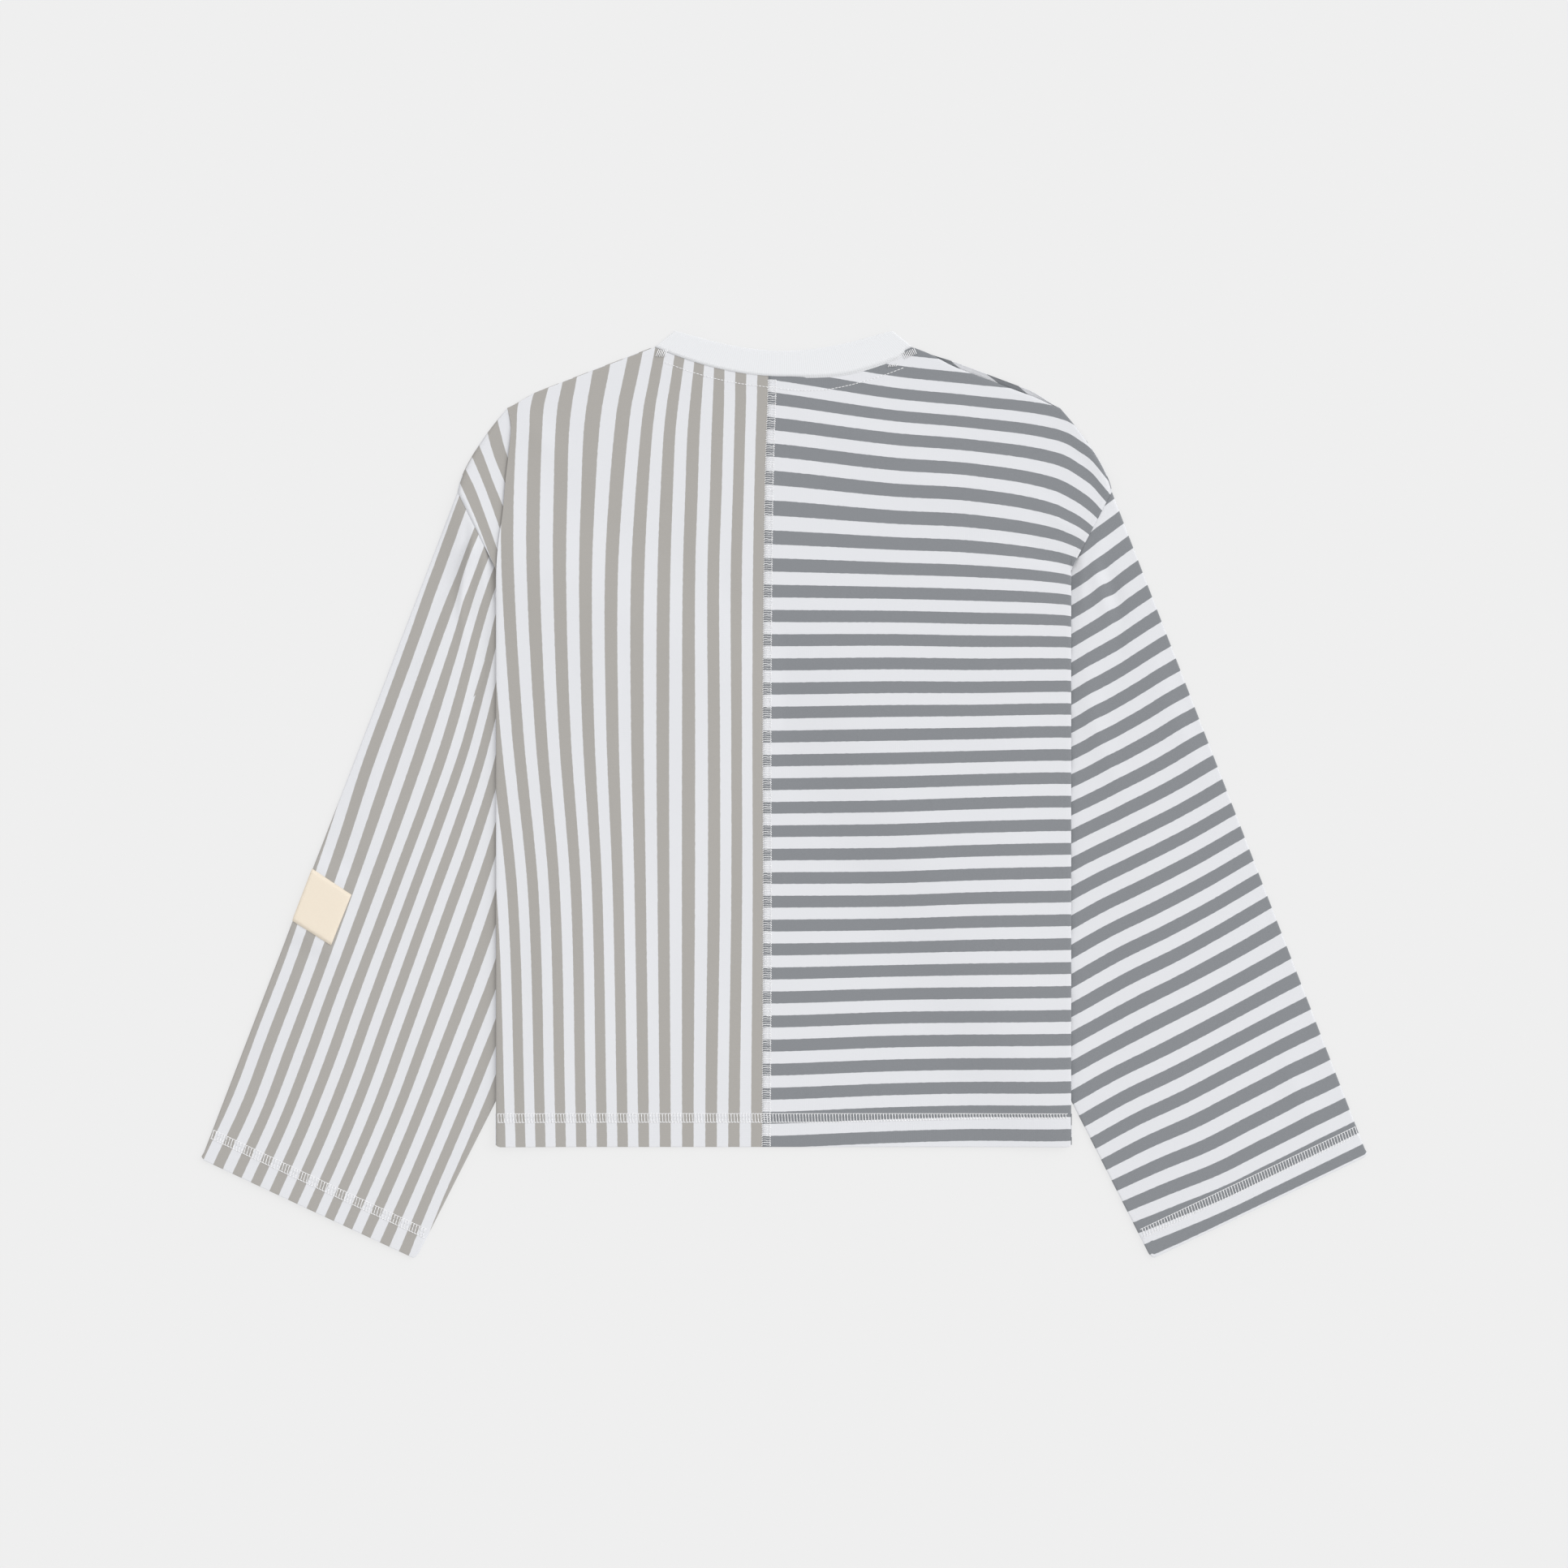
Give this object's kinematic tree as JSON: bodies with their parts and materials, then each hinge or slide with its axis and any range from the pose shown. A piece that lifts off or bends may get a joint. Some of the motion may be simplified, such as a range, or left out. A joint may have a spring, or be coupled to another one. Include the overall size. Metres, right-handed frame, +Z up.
{
  "type": "long-sleeve t-shirt",
  "caption": "Loose long-sleeve t-shirt laid flat with its back up: dropped shoulders, wide straight sleeves, ribbed neck, one half striped lengthwise and the other crosswise.",
  "frame": {"origin": "on the surface the shirt lies on, under the middle of its bounding box", "axes": "+Z up, out of the shirt's back; +Y towards the neck; +X towards the wearer's right sleeve, the right of the picture"},
  "size_m": [0.9776, 0.7757, 0.0075],
  "materials": {
    "beige_stripe_jersey": "matte",
    "grey_stripe_jersey": "matte",
    "white_rib": "matte",
    "cream_label": "matte"
  },
  "bodies": {
    "root": {"front_left": "beige_stripe_jersey", "front_right": "grey_stripe_jersey", "back_left": "beige_stripe_jersey", "back_right": "grey_stripe_jersey", "sleeve_left": "beige_stripe_jersey", "sleeve_right": "grey_stripe_jersey", "neck_rib": "white_rib", "sleeve_label": "cream_label"}
  },
  "joints": []
}
